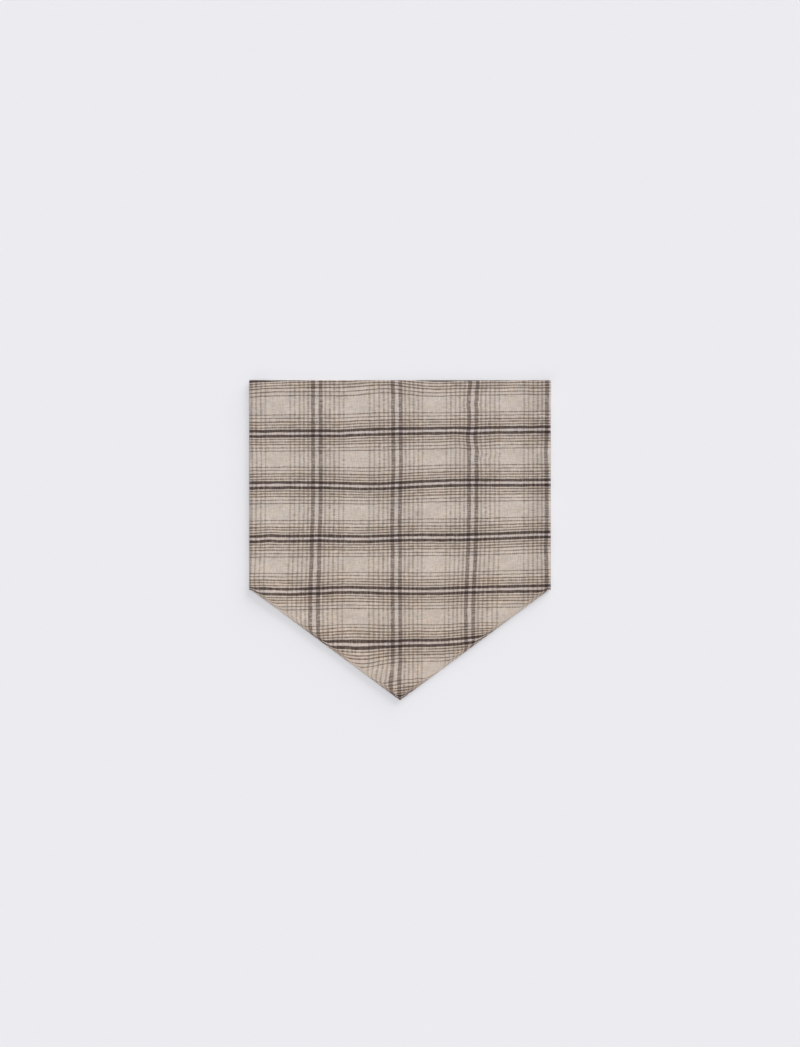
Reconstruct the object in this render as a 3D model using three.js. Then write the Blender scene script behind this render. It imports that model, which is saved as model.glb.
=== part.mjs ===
// A plaid cotton scarf: one obtuse triangle of thin cloth, laid face up with its blunt corner
// towards -Y, and both of its long tails folded flat behind it. Millimetres, +Z up, the lowest
// layer lies on z = 0 and the folded outline is centred on the origin.

import * as THREE from 'three';

// Driving dimensions
const FOLDED_WIDTH = 311;   // outside one side fold to outside the other
const DROP = 330;           // straight long edge to the blunt tip
const CLOTH = 1.0;          // thickness of the cloth at its hemmed edges
const LAYER_GAP = 0.4;      // air between two pressed layers
const FOLD_LOFT = 2.0;      // how much a side fold stands open above the pressed layers
const LOFT_REACH = 22;      // how far in from a side fold the cloth stays lofted
const STEP_REACH = 46;      // how far beyond the edge of a lower layer the cloth takes to come down
const HEM_LIFT = 2.4;       // how far the slanted hems stand off the surface at most
const HEM_LIFT_REACH = 34;  // how far in from a slanted hem that lift fades out

// The cloth is divided into a lattice of diamonds whose sides run along the slanted edges.
const CELLS_TO_FOLD = 20;   // lattice columns from the middle line to a side fold
const CELLS_TO_TAIL = 58;   // lattice columns from the middle line to the end of a tail
const BEND_FACETS = 8;      // facets around a side fold

// Soft ridges left in the face by handling: where each one's middle is, which way it runs,
// how long and how wide it is, and how high it stands.
const RIDGES = [
  { x: -96, y: 118, turn: 6, length: 70, width: 15, height: 0.5 },
  { x: -18, y: 66, turn: -8, length: 90, width: 17, height: 0.6 },
  { x: 72, y: 104, turn: 62, length: 36, width: 11, height: 0.5 },
  { x: 49, y: -38, turn: 84, length: 26, width: 8, height: 0.5 },
  { x: 104, y: 24, turn: 3, length: 62, width: 19, height: 0.5 },
  { x: -84, y: -8, turn: -5, length: 84, width: 20, height: 0.6 },
  { x: -52, y: -84, turn: 22, length: 60, width: 15, height: 0.6 },
  { x: 34, y: -104, turn: -12, length: 66, width: 17, height: 0.6 },
];

// Worked out from the driving dimensions
const LAYER_PITCH = CLOTH + LAYER_GAP;
const BEND_REACH = (LAYER_PITCH + FOLD_LOFT) / 2;
const FOLD_X = FOLDED_WIDTH / 2 - BEND_REACH - CLOTH / 2;
const COLUMN = FOLD_X / CELLS_TO_FOLD;
const ROW = DROP / CELLS_TO_TAIL;
const SLANT = ROW / COLUMN;
const SLANT_LENGTH = Math.hypot(1, SLANT);
const TAIL_TIP_X = CELLS_TO_TAIL * COLUMN - 2 * FOLD_X;
const TOP_Y = DROP / 2;

function easeInOut(t) {
  const s = Math.min(Math.max(t, 0), 1);
  return s * s * (3 - 2 * s);
}

// 1 over the tail whose fold is on the given side (-1 left, 1 right), easing to 0 beyond its hem.
function overTail(side, x, y) {
  const beyond = -((y - TOP_Y) + SLANT * (TAIL_TIP_X + side * x)) / SLANT_LENGTH;
  return 1 - easeInOut(beyond / STEP_REACH);
}

// How far a point of the face lies inside the nearer slanted hem.
function insideSlant(x, y) {
  return ((y + TOP_Y) - SLANT * Math.abs(x)) / SLANT_LENGTH;
}

function ridgeHeight(x, y) {
  let height = 0;
  for (const ridge of RIDGES) {
    const turn = THREE.MathUtils.degToRad(ridge.turn);
    const along = (x - ridge.x) * Math.cos(turn) + (y - ridge.y) * Math.sin(turn);
    const across = (y - ridge.y) * Math.cos(turn) - (x - ridge.x) * Math.sin(turn);
    height += ridge.height * Math.exp(-((along / ridge.length) ** 2) - (across / ridge.width) ** 2);
  }
  return height;
}

function hemLift(x, y) {
  const inside = insideSlant(x, y);
  const wave = 0.92 + 0.08 * Math.cos(x / 21 + 0.8);
  const nearFold = easeInOut((FOLD_X - Math.abs(x)) / LOFT_REACH);
  return HEM_LIFT * wave * nearFold * (1 - easeInOut(inside / HEM_LIFT_REACH));
}

function foldLoft(x) {
  return FOLD_LOFT * (1 - easeInOut((FOLD_X - Math.abs(x)) / LOFT_REACH));
}

// Heights of the middle of each layer. The right tail lies lowest, the left tail over it, and
// the face over both.
function rightTailHeight() {
  return CLOTH / 2;
}

function leftTailHeight(x, y) {
  return CLOTH / 2 + LAYER_PITCH * overTail(1, x, y);
}

function faceHeight(x, y) {
  const flat = easeInOut((FOLD_X - Math.abs(x)) / LOFT_REACH);
  const layers = LAYER_PITCH * (overTail(-1, x, y) + overTail(1, x, y));
  return CLOTH / 2 + layers + foldLoft(x) + hemLift(x, y) + flat * ridgeHeight(x, y);
}

// One station across the cloth for each lattice column, from the end of the left tail to the
// end of the right one, with a fan of stations around each side fold. A station's place gives
// the middle of the cloth at a height y, and the direction in which its face looks there.
function tailStation(side, column) {
  const x = side * (2 * FOLD_X - column * COLUMN);
  const height = side < 0 ? leftTailHeight : rightTailHeight;
  return {
    column,
    place: (y) => ({ x, z: height(x, y), faceX: 0, faceZ: -1 }),
  };
}

function faceStation(column) {
  const x = column * COLUMN;
  return {
    column: Math.abs(column),
    place: (y) => ({ x, z: faceHeight(x, y), faceX: 0, faceZ: 1 }),
  };
}

function bendStation(side, step) {
  const x = side * FOLD_X;
  const under = side < 0 ? leftTailHeight : rightTailHeight;
  const angle = Math.PI * step / BEND_FACETS;
  return {
    column: CELLS_TO_FOLD,
    place: (y) => {
      const top = faceHeight(x, y);
      const bottom = under(x, y);
      const halfHeight = (top - bottom) / 2;
      const slope = new THREE.Vector2(Math.sin(angle) / BEND_REACH, Math.cos(angle) / halfHeight);
      slope.normalize();
      return {
        x: x + side * BEND_REACH * Math.sin(angle),
        z: (top + bottom) / 2 + halfHeight * Math.cos(angle),
        faceX: side * slope.x,
        faceZ: slope.y,
      };
    },
  };
}

function clothStations() {
  const stations = [];
  for (let column = CELLS_TO_TAIL; column > CELLS_TO_FOLD; column -= 1) {
    stations.push(tailStation(-1, column));
  }
  for (let step = BEND_FACETS; step >= 0; step -= 1) {
    stations.push(bendStation(-1, step));
  }
  for (let column = 1 - CELLS_TO_FOLD; column < CELLS_TO_FOLD; column += 1) {
    stations.push(faceStation(column));
  }
  for (let step = 0; step <= BEND_FACETS; step += 1) {
    stations.push(bendStation(1, step));
  }
  for (let column = CELLS_TO_FOLD + 1; column <= CELLS_TO_TAIL; column += 1) {
    stations.push(tailStation(1, column));
  }
  return stations;
}

// The lattice rows of a column, counted down from the long edge to the slanted one. Odd columns
// lie half a diamond lower, so they get one more row on the long edge.
function latticeRows(column) {
  const rows = column % 2 === 1 ? [0] : [];
  for (let row = column % 2; row <= CELLS_TO_TAIL - column; row += 2) {
    rows.push(row);
  }
  return rows;
}

// Two skins, half the cloth's thickness to either side of its middle.
function clothPoints(stations) {
  const points = { face: [], back: [], columns: [] };
  for (const station of stations) {
    const column = [];
    for (const row of latticeRows(station.column)) {
      const y = TOP_Y - row * ROW;
      const at = station.place(y);
      const half = CLOTH / 2;
      column.push({ index: points.face.length, row });
      points.face.push([at.x + at.faceX * half, y, at.z + at.faceZ * half]);
      points.back.push([at.x - at.faceX * half, y, at.z - at.faceZ * half]);
    }
    points.columns.push(column);
  }
  return points;
}

// Triangles between two neighbouring columns, taking the higher of the two next points each time.
function zipColumns(left, right) {
  const triangles = [];
  let a = 0;
  let b = 0;
  while (a < left.length - 1 || b < right.length - 1) {
    const nextLeft = a < left.length - 1 ? left[a + 1].row : Infinity;
    const nextRight = b < right.length - 1 ? right[b + 1].row : Infinity;
    if (nextLeft <= nextRight) {
      triangles.push([left[a].index, left[a + 1].index, right[b].index]);
      a += 1;
    } else {
      triangles.push([left[a].index, right[b + 1].index, right[b].index]);
      b += 1;
    }
  }
  return triangles;
}

// The rim in order: along the long edge, then back along the slanted edges.
function rimLoop(columns) {
  const long = columns.map((column) => column[0].index);
  const slanted = columns.map((column) => column[column.length - 1].index).reverse();
  const loop = [...long, ...slanted];
  return loop.filter((index, place) => index !== loop[(place + 1) % loop.length]);
}

function clothGeometry() {
  const points = clothPoints(clothStations());
  const count = points.face.length;
  const positions = [...points.face, ...points.back].flat();
  const triangles = [];
  for (let place = 0; place < points.columns.length - 1; place += 1) {
    for (const [a, b, c] of zipColumns(points.columns[place], points.columns[place + 1])) {
      triangles.push(a, b, c);
      triangles.push(count + a, count + c, count + b);
    }
  }
  const rim = rimLoop(points.columns);
  rim.forEach((from, place) => {
    const to = rim[(place + 1) % rim.length];
    triangles.push(from, to, count + to);
    triangles.push(from, count + to, count + from);
  });
  const geometry = new THREE.BufferGeometry();
  geometry.setAttribute('position', new THREE.Float32BufferAttribute(positions, 3));
  geometry.setIndex(triangles);
  geometry.computeVertexNormals();
  return geometry;
}

function makeScarf() {
  const cotton = new THREE.MeshStandardMaterial({ color: 0xa5998f, roughness: 0.92, metalness: 0 });
  const scarf = new THREE.Mesh(clothGeometry(), cotton);
  scarf.name = 'scarf';
  return scarf;
}

const foldedScarf = new THREE.Group();
foldedScarf.add(makeScarf());

export default foldedScarf;
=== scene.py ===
# A folded triangle scarf of thin plaid cotton, lying face up on a pale surface, seen from above.

import math

import bmesh
import bpy
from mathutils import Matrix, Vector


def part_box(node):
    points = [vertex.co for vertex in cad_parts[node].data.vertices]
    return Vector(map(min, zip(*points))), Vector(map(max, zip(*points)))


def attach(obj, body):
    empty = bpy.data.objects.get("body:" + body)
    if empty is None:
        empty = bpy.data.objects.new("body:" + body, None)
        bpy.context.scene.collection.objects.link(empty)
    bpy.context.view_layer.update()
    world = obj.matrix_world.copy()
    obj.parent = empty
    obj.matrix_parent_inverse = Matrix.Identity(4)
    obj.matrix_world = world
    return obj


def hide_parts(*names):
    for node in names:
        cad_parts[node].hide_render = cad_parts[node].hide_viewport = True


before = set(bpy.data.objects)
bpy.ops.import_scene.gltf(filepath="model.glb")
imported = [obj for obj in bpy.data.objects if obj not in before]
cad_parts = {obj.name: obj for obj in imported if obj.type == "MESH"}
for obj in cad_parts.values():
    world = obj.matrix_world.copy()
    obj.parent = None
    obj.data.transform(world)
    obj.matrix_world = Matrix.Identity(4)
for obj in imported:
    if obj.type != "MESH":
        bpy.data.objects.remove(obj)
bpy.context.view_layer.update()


# The cloth
# One obtuse triangle of thin yarn-dyed cotton, cut on the straight grain with its long edge along
# the weft. It is cut out flat, its edges are turned in a narrow hem, and then both long tails are
# folded behind the face along two upright folds: first the left tail, then the right one.

MM = 0.001

low_corner, high_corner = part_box("scarf")
FOLDED_WIDTH = high_corner.x - low_corner.x
DROP = high_corner.y - low_corner.y
TOP_Y = high_corner.y

LAYER = 1.0 * MM           # depth of one layer at its hem
CLOTH = 0.45 * MM          # thickness of the cloth itself
LAYER_PITCH = 1.4 * MM     # from one layer to the next
FOLD_LOFT = 2.0 * MM       # how much a side fold stands open above the pressed layers
LOFT_REACH = 22 * MM       # how far in from a side fold the cloth stays lofted
STEP_REACH = 46 * MM       # how far beyond a tail's edge the cloth takes to come down
HEM_LIFT = 2.4 * MM        # how far the slanted hems stand off the surface at most
HEM_LIFT_REACH = 34 * MM   # how far in from a slanted hem that lift fades out
HEM = 6.0 * MM             # depth of the turned hem
HEM_STEP = 0.7 * MM        # how softly the hem's inner edge steps down to the single cloth
ROLL = 0.45 * MM           # radius of the hem's rolled outer edge
TAIL_TO_FACE = 2.9         # flat half length of the long edge over the distance to a fold
TAIL_TIP = 3.0 * MM        # the end of a tail is hemmed blunt, this high

BEND = (LAYER_PITCH + FOLD_LOFT) / 2
BEND_LENGTH = math.pi * BEND
FOLD_X = FOLDED_WIDTH / 2 - BEND - LAYER / 2
SLANT = DROP / (TAIL_TO_FACE * FOLD_X)
SLANT_LENGTH = math.hypot(1, SLANT)
TAIL_TIP_X = (TAIL_TO_FACE - 2) * FOLD_X
HALF_LONG_EDGE = TAIL_TO_FACE * FOLD_X + BEND_LENGTH

# Soft ridges that handling left in the face: middle, the way it runs, length, width and height.
RIDGES = [
    dict(x=-96, y=118, turn=6, length=70, width=15, height=0.5),
    dict(x=-18, y=66, turn=-8, length=90, width=17, height=0.6),
    dict(x=72, y=104, turn=62, length=36, width=11, height=0.5),
    dict(x=49, y=-38, turn=84, length=26, width=8, height=0.5),
    dict(x=104, y=24, turn=3, length=62, width=19, height=0.5),
    dict(x=-84, y=-8, turn=-5, length=84, width=20, height=0.6),
    dict(x=-52, y=-84, turn=22, length=60, width=15, height=0.6),
    dict(x=34, y=-104, turn=-12, length=66, width=17, height=0.6),
]


def ease(t):
    t = min(max(t, 0.0), 1.0)
    return t * t * (3 - 2 * t)


def over_tail(side, x, y):
    beyond = -((y - TOP_Y) + SLANT * (TAIL_TIP_X + side * x)) / SLANT_LENGTH
    return 1 - ease(beyond / STEP_REACH)


def ridge_height(x, y):
    height = 0.0
    for ridge in RIDGES:
        turn = math.radians(ridge["turn"])
        dx = x / MM - ridge["x"]
        dy = y / MM - ridge["y"]
        along = dx * math.cos(turn) + dy * math.sin(turn)
        across = dy * math.cos(turn) - dx * math.sin(turn)
        height += ridge["height"] * math.exp(
            -((along / ridge["length"]) ** 2) - (across / ridge["width"]) ** 2
        )
    return height * MM


def hem_lift(x, y):
    inside = ((y + TOP_Y) - SLANT * abs(x)) / SLANT_LENGTH
    wave = 0.92 + 0.08 * math.cos(x / (21 * MM) + 0.8)
    return HEM_LIFT * wave * (1 - ease(inside / HEM_LIFT_REACH))


def right_tail_height(x, y):
    return LAYER / 2


def left_tail_height(x, y):
    return LAYER / 2 + LAYER_PITCH * over_tail(1, x, y)


def face_height(x, y):
    flat = ease((FOLD_X - abs(x)) / LOFT_REACH)
    layers = LAYER_PITCH * (over_tail(-1, x, y) + over_tail(1, x, y))
    relief = ridge_height(x, y) + hem_lift(x, y)
    return LAYER / 2 + layers + FOLD_LOFT * (1 - flat) + flat * relief


def folded(along, down, out):
    """The place of a point of the flat cloth once it is folded: along from the middle line, down
    from the long edge, and out of the cloth's face from the middle of its hemmed thickness."""
    side = 1 if along > 0 else -1
    y = TOP_Y - down
    reach = abs(along)
    tail_height = right_tail_height if side > 0 else left_tail_height
    if reach <= FOLD_X:
        return along, y, face_height(along, y) + out
    if reach >= FOLD_X + BEND_LENGTH:
        x = side * (2 * FOLD_X + BEND_LENGTH - reach)
        return x, y, tail_height(x, y) - out
    angle = (reach - FOLD_X) / BEND
    top = face_height(side * FOLD_X, y)
    bottom = tail_height(side * FOLD_X, y)
    half = (top - bottom) / 2
    slope_x = math.sin(angle) / BEND
    slope_z = math.cos(angle) / half
    slope = math.hypot(slope_x, slope_z)
    x = FOLD_X + BEND * math.sin(angle) + out * slope_x / slope
    return side * x, y, (top + bottom) / 2 + half * math.cos(angle) + out * slope_z / slope


def drop_at(along):
    """How far down the slanted edge lies, for a place along the long edge."""
    reach = abs(along)
    if reach > FOLD_X:
        reach = max(FOLD_X, reach - BEND_LENGTH)
    return max(DROP - SLANT * reach, TAIL_TIP)


def edge_distance(along, down):
    to_slant = (drop_at(along) - down) / SLANT_LENGTH
    to_tail_tip = HALF_LONG_EDGE - TAIL_TIP / SLANT - abs(along)
    return min(down, to_slant, to_tail_tip)


def skin_offset(on_face, distance):
    """How far a skin of the cloth stands from the middle of the hemmed thickness."""
    inside = max(ROLL - distance, 0.0)
    rolled = ROLL - math.sqrt(max(ROLL * ROLL - inside * inside, 0.0))
    if on_face:
        return LAYER / 2 - rolled
    single = ease((distance - HEM) / HEM_STEP)
    return -LAYER / 2 + rolled + (LAYER - CLOTH) * single


# Lines of the grid, from an edge inwards in millimetres: they are close together over the rolled
# edge and where the hem ends.
EDGE_LINES = [0, 0.08, 0.22, 0.45, 0.9, 1.5, 2.2, 3.1, 4.4, 6.0, 6.35, 6.7]
NEAR_FOLD = 5 * MM         # this close to a side fold the columns stand closer together
FACE_COLUMNS = 70          # from the middle line to there
NEAR_COLUMNS = 5           # from there to the bend
BEND_COLUMNS = 12          # around the bend
BEHIND_COLUMNS = 4         # from the bend to as far behind it
TAIL_COLUMNS = 42          # from there to the end of a tail
ROWS_BETWEEN_HEMS = 118
HEM_SHARE = 0.8            # most of a short column that its two hems may take


def spaced(start, end, count):
    return [start + (end - start) * step / count for step in range(count)]


def column_places():
    """Places along the long edge, denser where the cloth bends round a side fold."""
    end = HALF_LONG_EDGE - TAIL_TIP / SLANT
    behind = FOLD_X + BEND_LENGTH
    half = spaced(0, FOLD_X - NEAR_FOLD, FACE_COLUMNS)
    half += spaced(FOLD_X - NEAR_FOLD, FOLD_X, NEAR_COLUMNS)
    half += spaced(FOLD_X, behind, BEND_COLUMNS)
    half += spaced(behind, behind + NEAR_FOLD, BEHIND_COLUMNS)
    half += spaced(behind + NEAR_FOLD, end - EDGE_LINES[-1] * MM, TAIL_COLUMNS)
    half += [end - line * MM for line in reversed(EDGE_LINES)]
    return [-place for place in reversed(half[1:])] + half


def row_places(along):
    """Places down a column: the lines along the long edge, even rows, the lines along the slant."""
    drop = drop_at(along)
    top = [line * MM for line in EDGE_LINES]
    bottom = [line * MM * SLANT_LENGTH for line in EDGE_LINES]
    squeeze = min(1.0, HEM_SHARE * drop / (top[-1] + bottom[-1]))
    first = top[-1] * squeeze
    last = drop - bottom[-1] * squeeze
    places = [place * squeeze for place in top[:-1]]
    places += spaced(first, last, ROWS_BETWEEN_HEMS)
    places += [drop - place * squeeze for place in reversed(bottom)]
    return places


# The weave follows the cut only roughly: the weft rises a little to the right, and handling has
# dragged it here and there. Each drag has its middle, its reach, and how far it goes at most.
GRAIN_RISE = 0.0124
GRAIN_SHIFT = -0.72 * MM
DRAGS = [
    dict(x=-15, y=153, wide=27, tall=20, right=0.0, up=2.2),
    dict(x=-113, y=153, wide=35, tall=20, right=0.0, up=1.6),
    dict(x=44, y=153, wide=22, tall=18, right=0.0, up=-1.1),
    dict(x=-93, y=115, wide=64, tall=26, right=0.0, up=-1.2),
    dict(x=-27, y=59, wide=37, tall=27, right=0.0, up=-1.8),
    dict(x=-129, y=59, wide=41, tall=27, right=0.0, up=0.8),
    dict(x=67, y=59, wide=39, tall=27, right=0.0, up=0.9),
    dict(x=-36, y=4, wide=33, tall=25, right=0.0, up=-1.2),
    dict(x=57, y=4, wide=33, tall=25, right=0.0, up=-0.8),
    dict(x=148, y=-5, wide=35, tall=41, right=0.0, up=1.2),
    dict(x=-57, y=-53, wide=31, tall=23, right=0.0, up=1.4),
    dict(x=31, y=-51, wide=39, tall=27, right=0.0, up=-1.2),
    dict(x=-148, y=-51, wide=21, tall=27, right=0.0, up=1.1),
    dict(x=77, y=-105, wide=27, tall=27, right=0.0, up=2.4),
    dict(x=93, y=-98, wide=16, tall=12, right=0.0, up=2.1),
    dict(x=-49, y=-93, wide=26, tall=13, right=0.0, up=2.1),
    dict(x=15, y=-93, wide=16, tall=16, right=0.0, up=0.8),
    dict(x=-15, y=-150, wide=12, tall=10, right=0.0, up=-2.0),
    dict(x=-26, y=-148, wide=20, tall=14, right=-3.2, up=0.0),
    dict(x=-39, y=-136, wide=25, tall=23, right=0.0, up=-5.6),
    dict(x=0, y=-156, wide=21, tall=14, right=0.0, up=-2.0),
    dict(x=-6, y=112, wide=37, tall=112, right=2.3, up=0.0),
    dict(x=-6, y=-103, wide=31, tall=82, right=1.9, up=0.0),
    dict(x=-103, y=-72, wide=46, tall=62, right=-3.3, up=0.0),
    dict(x=77, y=-82, wide=37, tall=62, right=-3.5, up=0.0),
    dict(x=-52, y=160, wide=103, tall=15, right=0.0, up=0.6),
    dict(x=-129, y=160, wide=23, tall=14, right=0.0, up=0.5),
    dict(x=126, y=153, wide=12, tall=12, right=0.0, up=0.7),
    dict(x=-146, y=113, wide=14, tall=14, right=0.0, up=-0.6),
    dict(x=-62, y=113, wide=14, tall=16, right=0.0, up=-0.7),
    dict(x=75, y=113, wide=9, tall=14, right=0.0, up=-0.6),
    dict(x=-134, y=4, wide=9, tall=14, right=0.0, up=0.8),
    dict(x=-84, y=4, wide=10, tall=14, right=0.0, up=0.4),
    dict(x=-152, y=72, wide=14, tall=22, right=0.8, up=0.0),
    dict(x=-150, y=-36, wide=14, tall=14, right=-0.8, up=0.0),
    dict(x=-84, y=4, wide=22, tall=18, right=-0.5, up=0.0),
    dict(x=-6, y=77, wide=22, tall=16, right=0.5, up=0.0),
    dict(x=-6, y=-15, wide=22, tall=14, right=0.5, up=0.0),
    dict(x=155, y=91, wide=14, tall=14, right=-1.0, up=0.0),
    dict(x=155, y=-8, wide=14, tall=12, right=-0.8, up=0.0),
    dict(x=76, y=162, wide=16, tall=7, right=1.3, up=0.0),
    dict(x=75, y=140, wide=12, tall=3.6, right=-0.8, up=0.0),
    dict(x=74, y=107, wide=14, tall=8, right=-1.2, up=0.0),
    dict(x=93, y=90, wide=18, tall=4, right=0.8, up=0.0),
    dict(x=91, y=83, wide=18, tall=4, right=-0.6, up=0.0),
    dict(x=82, y=99, wide=13, tall=8, right=0.0, up=-1.0),
    dict(x=58, y=99, wide=10, tall=8, right=0.0, up=0.7),
    dict(x=-72, y=164, wide=39, tall=13.5, right=0.0, up=2.4),
    dict(x=-12, y=164, wide=29, tall=13.5, right=0.0, up=2.3),
    dict(x=-41, y=164, wide=16, tall=13.5, right=0.0, up=0.6),
    dict(x=-142, y=154, wide=18, tall=8, right=0.0, up=1.0),
    dict(x=54, y=158, wide=18, tall=12, right=0.0, up=0.7),
    dict(x=138, y=158, wide=20, tall=10, right=0.0, up=-0.5),
    dict(x=156, y=0, wide=24, tall=120, right=-0.5, up=0.0),
]

# Towards a slanted hem the cloth was pulled over the edge when it was turned.
HEM_PULL = 7.0 * MM
HEM_PULL_REACH = 1.6 * MM
HEM_PULL_SIDEWAYS = 0.5    # how much of the pull's sideways part the warp follows
TIP_WIDTH = 4 * MM         # the sideways part changes sides over this width at the blunt tip


def weave_place(along, down):
    """Where a point of the flat cloth lies in the weave, in metres along and down."""
    x = along / MM
    y = (TOP_Y - down) / MM
    right = 0.0
    up = GRAIN_SHIFT + GRAIN_RISE * along
    if abs(along) < FOLD_X + BEND_LENGTH:
        for drag in DRAGS:
            far = ((x - drag["x"]) / drag["wide"]) ** 2 + ((y - drag["y"]) / drag["tall"]) ** 2
            right += drag["right"] * MM * math.exp(-far)
            up += drag["up"] * MM * math.exp(-far)
    to_slant = max((drop_at(along) - down) / SLANT_LENGTH, 0.0)
    pull = HEM_PULL * math.exp(-((to_slant / HEM_PULL_REACH) ** 2))
    sideways = math.tanh(along / TIP_WIDTH) * pull * HEM_PULL_SIDEWAYS * SLANT / SLANT_LENGTH
    return along - right + sideways, down + up + pull / SLANT_LENGTH


def make_scarf():
    columns = column_places()
    rows = [row_places(place) for place in columns]
    bm = bmesh.new()
    bmesh.ops.create_grid(
        bm, x_segments=len(columns) - 1, y_segments=len(rows[0]) - 1, size=0.5
    )
    cut = bmesh.ops.extrude_face_region(bm, geom=bm.faces[:])
    face_skin = {item for item in cut["geom"] if isinstance(item, bmesh.types.BMVert)}
    bmesh.ops.translate(bm, verts=list(face_skin), vec=(0, 0, LAYER))
    weave = bm.loops.layers.uv.new("weave")
    flat = {}
    for vert in bm.verts:
        column = round((vert.co.x + 0.5) * (len(columns) - 1))
        row = round((0.5 - vert.co.y) * (len(rows[0]) - 1))
        flat[vert] = columns[column], rows[column][row], vert in face_skin
    for vert, (along, down, on_face) in flat.items():
        out = skin_offset(on_face, edge_distance(along, down))
        vert.co = folded(along, down, out)
    woven = {vert: weave_place(along, down) for vert, (along, down, _) in flat.items()}
    for bm_face in bm.faces:
        bm_face.smooth = True
        for loop in bm_face.loops:
            along, down = woven[loop.vert]
            size = 2 * HALF_LONG_EDGE
            loop[weave].uv = (0.5 + along / size, 1 - down / size)
    mesh = bpy.data.meshes.new("scarf_cloth")
    bm.to_mesh(mesh)
    bm.free()
    piece = bpy.data.objects.new("scarf_cloth", mesh)
    bpy.context.collection.objects.link(piece)
    return piece


# The plaid is dyed into the yarns before weaving. Both sets of lines are mirrored about the middle
# of a dark pair. Each line has its distance from there, its width, and what its yarns let
# through of the ground's red, green and blue. Distances are in millimetres.
GROUND = (0.568, 0.495, 0.443)
WEFT_REPEAT = 54.78
WEFT_FIRST_PAIR = 51.78
WEFT_LINES = [
    dict(at=0.0, width=2.2, shade=(1.0, 1.0, 1.05)),
    dict(at=2.77, width=2.95, shade=(0.18, 0.155, 0.153)),
    dict(at=6.1, width=1.4, shade=(0.40, 0.36, 0.34)),
    dict(at=8.95, width=1.5, shade=(0.445, 0.405, 0.362)),
    dict(at=11.7, width=1.35, shade=(0.38, 0.337, 0.295)),
    dict(at=15.3, width=1.0, shade=(0.41, 0.375, 0.355)),
    dict(at=18.7, width=1.0, shade=(0.43, 0.395, 0.375)),
]
WEFT_BAND = dict(until=13.4, shade=(1.025, 1.015, 1.005))
WARP_REPEAT = 80.42
WARP_FIRST_PAIR = -5.37
WARP_LINES = [
    dict(at=0.0, width=3.6, shade=(0.99, 1.0, 1.03)),
    dict(at=3.95, width=4.0, shade=(0.45, 0.425, 0.43)),
    dict(at=8.8, width=2.1, shade=(0.685, 0.67, 0.66)),
    dict(at=13.3, width=1.9, shade=(0.685, 0.665, 0.65)),
    dict(at=17.85, width=1.9, shade=(0.69, 0.67, 0.65)),
    dict(at=22.8, width=1.7, shade=(0.725, 0.705, 0.685)),
    dict(at=27.4, width=1.7, shade=(0.73, 0.72, 0.70)),
]
WARP_BAND = dict(until=29.0, shade=(0.995, 0.99, 0.99))
LINE_EDGE = 0.5            # a line's edge is as uneven as its yarns
YARN = 0.75                # from one yarn to the next
INTERLACE = 0.7            # how much more of a yarn shows where it lies on top
WANDER = 0.8               # how far lines wander from side to side
WANDER_LENGTH = 12.0       # over what length they do, and how far apart they do it alike
WANDER_WIDTH = 2.4
SLUB = 2.7                 # how much more of a thick yarn shows, and of what it hides
SLUB_LENGTH = 7.0          # how long and how wide the thick places are
SLUB_WIDTH = 1.0
WARP_COVER = 1.05          # how much stronger that is in the warp
DARK_COVER = 0.23          # how much of that unevenness is left where the yarns are darkest
LEAST_COVER = 0.05         # a yarn shows at least this much
MOTTLE = 0.4               # how much lighter the ground is where its yarns are thick
BLOTCH = 0.2               # how much lighter or darker the cloth looks here and there
BLOTCH_LENGTH = 22.0       # over what length it does
TINT_CONTRAST = 2.0        # how far the dye turns warmer or cooler
TINT_LENGTH = 12.0         # over what length it does
WARM = (1.02, 1.0, 0.97)
COOL = (0.98, 1.0, 1.03)
FOLD_PAINTED_SHADE = 0.035          # painted shade: how much darker the ground is painted along the folds
FOLD_PAINTED_SHADE_FROM = 100.0     # how far from the middle line that starts
CROWN = 0.035 * MM         # how high a crossing of two yarns stands
THICK_CROWN = 2.0          # how much higher it stands where the yarns are thick

# The ground is a little warmer and darker towards the blunt corner: shades down the cloth's drop.
DEPTH_SHADES = [
    dict(at=0.0, shade=(0.99, 0.985, 0.98)),
    dict(at=0.45, shade=(1.0, 0.992, 0.975)),
    dict(at=0.6, shade=(1.01, 0.995, 0.97)),
    dict(at=0.75, shade=(0.978, 0.953, 0.92)),
    dict(at=1.0, shade=(0.955, 0.925, 0.89)),
]


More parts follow.
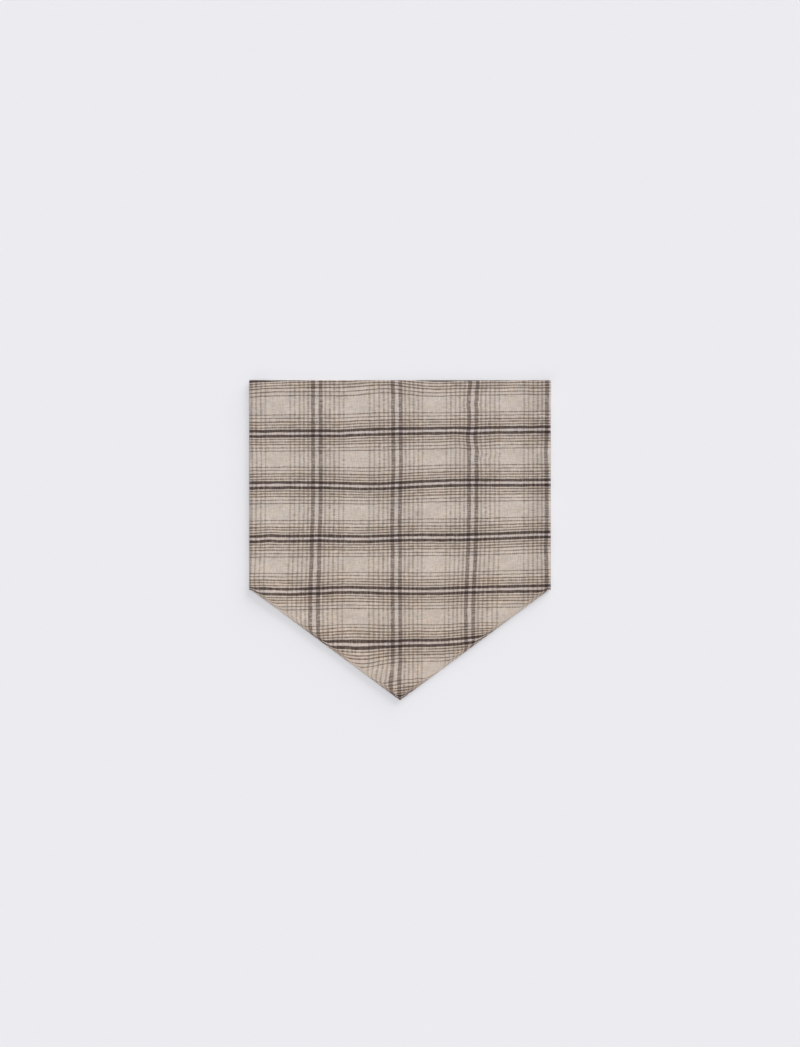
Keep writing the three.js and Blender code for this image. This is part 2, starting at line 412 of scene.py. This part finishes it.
def make_plaid_cotton():
    material = bpy.data.materials.new("plaid_cotton")
    material.use_nodes = True
    tree = material.node_tree
    shader = tree.nodes["Principled BSDF"]
    shader.inputs["Roughness"].default_value = 0.92
    shader.inputs["Specular IOR Level"].default_value = 0.2
    shader.inputs["Sheen Weight"].default_value = 0.05
    shader.inputs["Sheen Roughness"].default_value = 0.5

    def feed(socket, value):
        if isinstance(value, bpy.types.NodeSocket):
            tree.links.new(value, socket)
        else:
            socket.default_value = value

    def math_node(operation, *values):
        node = tree.nodes.new("ShaderNodeMath")
        node.operation = operation
        for socket, value in zip(node.inputs, values):
            feed(socket, value)
        return node.outputs[0]

    def noise(x, y, detail=1.0):
        """Noise over the flat cloth, given places that step by one over each lump: -0.5 to 0.5."""
        place = tree.nodes.new("ShaderNodeCombineXYZ")
        feed(place.inputs["X"], x)
        feed(place.inputs["Y"], y)
        node = tree.nodes.new("ShaderNodeTexNoise")
        node.noise_dimensions = "2D"
        node.inputs["Scale"].default_value = 1.0
        node.inputs["Detail"].default_value = detail
        node.inputs["Roughness"].default_value = 0.5
        feed(node.inputs["Vector"], place.outputs[0])
        return math_node("SUBTRACT", node.outputs["Fac"], 0.5)

    def lines_colour(place, first_pair, repeat, lines, band):
        """The shade of one set of lines at a place in millimetres."""
        half = repeat / 2
        from_pair = math_node("PINGPONG", math_node("SUBTRACT", place, first_pair), half)
        ramp = tree.nodes.new("ShaderNodeValToRGB")
        ramp.color_ramp.interpolation = "LINEAR"
        stops = []
        between = band["shade"]
        for line in lines:
            inner = (line["width"] - LINE_EDGE) / 2
            outer = (line["width"] + LINE_EDGE) / 2
            if line["at"] > 0:
                if line is not lines[1]:
                    stops.append((line["at"] - outer, between))
                stops.append((line["at"] - inner, line["shade"]))
            if line["at"] > band["until"] or line is lines[-1]:
                between = (1.0, 1.0, 1.0)
            stops.append((line["at"] + inner, line["shade"]))
            if line["at"] > 0:
                stops.append((line["at"] + outer, between))
        elements = ramp.color_ramp.elements
        elements[0].position = 0.0
        elements[0].color = (*lines[0]["shade"], 1)
        elements[1].position = 1.0
        elements[1].color = (1, 1, 1, 1)
        for at, shade in stops:
            elements.new(at / half).color = (*shade, 1)
        feed(ramp.inputs["Fac"], math_node("DIVIDE", from_pair, half))
        return ramp.outputs["Color"]

    def deepened(colour, amount):
        node = tree.nodes.new("ShaderNodeGamma")
        feed(node.inputs["Color"], colour)
        feed(node.inputs["Gamma"], amount)
        return node.outputs["Color"]

    def multiplied(first, second):
        node = tree.nodes.new("ShaderNodeMix")
        node.data_type = "RGBA"
        node.blend_type = "MULTIPLY"
        sockets = [s for s in node.inputs if s.enabled]
        feed(next(s for s in sockets if s.name == "Factor"), 1.0)
        feed(next(s for s in sockets if s.name == "A"), first)
        feed(next(s for s in sockets if s.name == "B"), second)
        return next(s for s in node.outputs if s.enabled)

    uv = tree.nodes.new("ShaderNodeUVMap")
    uv.uv_map = "weave"
    axes = tree.nodes.new("ShaderNodeSeparateXYZ")
    feed(axes.inputs[0], uv.outputs["UV"])
    full_edge = 2 * HALF_LONG_EDGE / MM
    along = math_node("MULTIPLY", math_node("SUBTRACT", axes.outputs["X"], 0.5), full_edge)
    down = math_node("MULTIPLY", math_node("SUBTRACT", 1.0, axes.outputs["Y"]), full_edge)

    weft_wander = noise(
        math_node("DIVIDE", along, WANDER_LENGTH), math_node("DIVIDE", down, WANDER_WIDTH)
    )
    warp_wander = noise(
        math_node("DIVIDE", along, WANDER_WIDTH), math_node("DIVIDE", down, WANDER_LENGTH)
    )
    weft_place = math_node("MULTIPLY_ADD", weft_wander, WANDER, down)
    warp_place = math_node("MULTIPLY_ADD", warp_wander, WANDER, along)
    weft = lines_colour(weft_place, WEFT_FIRST_PAIR, WEFT_REPEAT, WEFT_LINES, WEFT_BAND)
    warp = lines_colour(warp_place, WARP_FIRST_PAIR, WARP_REPEAT, WARP_LINES, WARP_BAND)

    # Warp yarns lie on top in every other crossing, weft yarns in those between.
    across_warp = math_node("SINE", math_node("MULTIPLY", along, math.pi / YARN))
    across_weft = math_node("SINE", math_node("MULTIPLY", down, math.pi / YARN))
    on_top = math_node("MULTIPLY", across_warp, across_weft)

    # Yarns are spun unevenly. A thick place shows more, and hides more of what it crosses.
    weft_slub = noise(
        math_node("DIVIDE", along, SLUB_LENGTH), math_node("DIVIDE", down, SLUB_WIDTH)
    )
    warp_slub = noise(
        math_node("DIVIDE", along, SLUB_WIDTH), math_node("DIVIDE", down, SLUB_LENGTH)
    )
    uneven = math_node("MULTIPLY", math_node("SUBTRACT", warp_slub, weft_slub), SLUB)
    uneven = math_node("MULTIPLY_ADD", on_top, INTERLACE, uneven)

    def cover(colour, unevenness):
        """How much of a line shows: it varies less where its yarns are dark."""
        grey = tree.nodes.new("ShaderNodeRGBToBW")
        feed(grey.inputs[0], colour)
        steady = math_node("MULTIPLY_ADD", grey.outputs[0], 1 - DARK_COVER, DARK_COVER)
        shows = math_node("MULTIPLY_ADD", unevenness, steady, 1.0)
        return math_node("MAXIMUM", shows, LEAST_COVER)

    plaid = multiplied(
        deepened(weft, cover(weft, math_node("MULTIPLY", uneven, -1.0))),
        deepened(warp, cover(warp, math_node("MULTIPLY", uneven, WARP_COVER))),
    )

    # The ground itself is faintly mottled, and its dye is a little uneven; painted shade darkens it
    # towards the side folds.
    mottle_and_fold_shade = math_node("ADD", weft_slub, warp_slub)
    mottle_and_fold_shade = math_node("MULTIPLY_ADD", mottle_and_fold_shade, MOTTLE, 1.0)
    blotch = noise(
        math_node("DIVIDE", along, BLOTCH_LENGTH), math_node("DIVIDE", down, BLOTCH_LENGTH / 2)
    )
    mottle_and_fold_shade = math_node("MULTIPLY_ADD", blotch, BLOTCH, mottle_and_fold_shade)
    # Painted shade: the ground is painted a little darker towards each side fold.
    fold_shade = tree.nodes.new("ShaderNodeMapRange")
    fold_shade.interpolation_type = "SMOOTHSTEP"
    fold_shade.inputs["From Min"].default_value = FOLD_PAINTED_SHADE_FROM
    fold_shade.inputs["From Max"].default_value = FOLD_X / MM
    fold_shade.inputs["To Max"].default_value = -FOLD_PAINTED_SHADE
    feed(fold_shade.inputs["Value"], math_node("ABSOLUTE", along))
    mottle_and_fold_shade = math_node("ADD", mottle_and_fold_shade, fold_shade.outputs["Result"])
    ground = tree.nodes.new("ShaderNodeVectorMath")
    ground.operation = "SCALE"
    ground.inputs[0].default_value = GROUND
    feed(ground.inputs["Scale"], mottle_and_fold_shade)
    tint = noise(
        math_node("DIVIDE", along, TINT_LENGTH), math_node("DIVIDE", down, TINT_LENGTH), 2.0
    )
    tint = math_node("MULTIPLY_ADD", tint, TINT_CONTRAST, 0.5)
    dye = tree.nodes.new("ShaderNodeValToRGB")
    dye.color_ramp.elements[0].color = (*WARM, 1)
    dye.color_ramp.elements[1].color = (*COOL, 1)
    feed(dye.inputs["Fac"], tint)
    ground = multiplied(ground.outputs[0], dye.outputs["Color"])
    depth = tree.nodes.new("ShaderNodeValToRGB")
    elements = depth.color_ramp.elements
    elements[0].color = (*DEPTH_SHADES[0]["shade"], 1)
    elements[1].color = (*DEPTH_SHADES[-1]["shade"], 1)
    for step in DEPTH_SHADES[1:-1]:
        elements.new(step["at"]).color = (*step["shade"], 1)
    feed(depth.inputs["Fac"], math_node("DIVIDE", down, DROP / MM))
    ground = multiplied(ground, depth.outputs["Color"])
    feed(shader.inputs["Base Color"], multiplied(ground, plaid))

    # Each crossing is a small crown.
    crown = math_node("ABSOLUTE", on_top)
    crown = math_node("MULTIPLY_ADD", mottle_and_fold_shade, THICK_CROWN, crown)
    bump = tree.nodes.new("ShaderNodeBump")
    bump.inputs["Strength"].default_value = 1.0
    bump.inputs["Distance"].default_value = CROWN
    feed(bump.inputs["Height"], crown)
    feed(shader.inputs["Normal"], bump.outputs["Normal"])
    return material


scarf = make_scarf()
scarf.data.materials.append(make_plaid_cotton())
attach(scarf, "root")
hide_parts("scarf")


# The surface
# A plain pale table that the scarf lies on.

FLOOR_COLOUR = (0.838, 0.838, 0.871, 1)
FLOOR_HALF_SIZE = 3.0
bm = bmesh.new()
bmesh.ops.create_grid(bm, x_segments=1, y_segments=1, size=FLOOR_HALF_SIZE)
floor_mesh = bpy.data.meshes.new("floor")
bm.to_mesh(floor_mesh)
bm.free()
floor = bpy.data.objects.new("floor", floor_mesh)
bpy.context.collection.objects.link(floor)
floor_material = bpy.data.materials.new("floor")
floor_material.use_nodes = True
floor_shader = floor_material.node_tree.nodes["Principled BSDF"]
floor_shader.inputs["Base Color"].default_value = FLOOR_COLOUR
floor_shader.inputs["Roughness"].default_value = 1.0
floor_shader.inputs["Specular IOR Level"].default_value = 0.0
floor.data.materials.append(floor_material)


# Light and camera
# A plain white surround, a soft light overhead, a low wide key from the upper right that lays a
# short shadow along the lower left edges, and a faint fill from the lower left. The camera looks
# straight down.

WORLD_STRENGTH = 0.30

world = bpy.data.worlds.new("studio")
world.use_nodes = True
background = world.node_tree.nodes["Background"]
background.inputs["Color"].default_value = (1, 1, 1, 1)
background.inputs["Strength"].default_value = WORLD_STRENGTH
bpy.context.scene.world = world


def add_light(name, strength, height, bearing, size):
    """A far light at a height above the table, coming from a bearing counted from +X."""
    data = bpy.data.lights.new(name, "SUN")
    data.energy = strength
    data.angle = math.radians(size)
    light = bpy.data.objects.new(name, data)
    light.rotation_euler = (math.radians(90 - height), 0, math.radians(90 + bearing))
    bpy.context.collection.objects.link(light)


add_light("overhead", strength=1.533, height=90, bearing=0, size=40)
add_light("key", strength=3.75, height=6, bearing=57, size=52)
add_light("fill", strength=0.205, height=21, bearing=235, size=12)

IMAGE_HEIGHT = 1047
OBJECT_HEIGHT = 319.6      # of the scarf in the image, in its pixels
OBJECT_MIDDLE = 540.25     # down the image
LENS = 100
SENSOR = 36
metres_per_pixel = DROP / OBJECT_HEIGHT
camera_data = bpy.data.cameras.new("camera")
camera_data.lens = LENS
camera_data.sensor_width = SENSOR
camera = bpy.data.objects.new("camera", camera_data)
camera.location = (
    0,
    (OBJECT_MIDDLE - IMAGE_HEIGHT / 2) * metres_per_pixel,
    IMAGE_HEIGHT * metres_per_pixel * LENS / SENSOR,
)
bpy.context.collection.objects.link(camera)
bpy.context.scene.camera = camera
bpy.context.scene.view_settings.view_transform = "Standard"
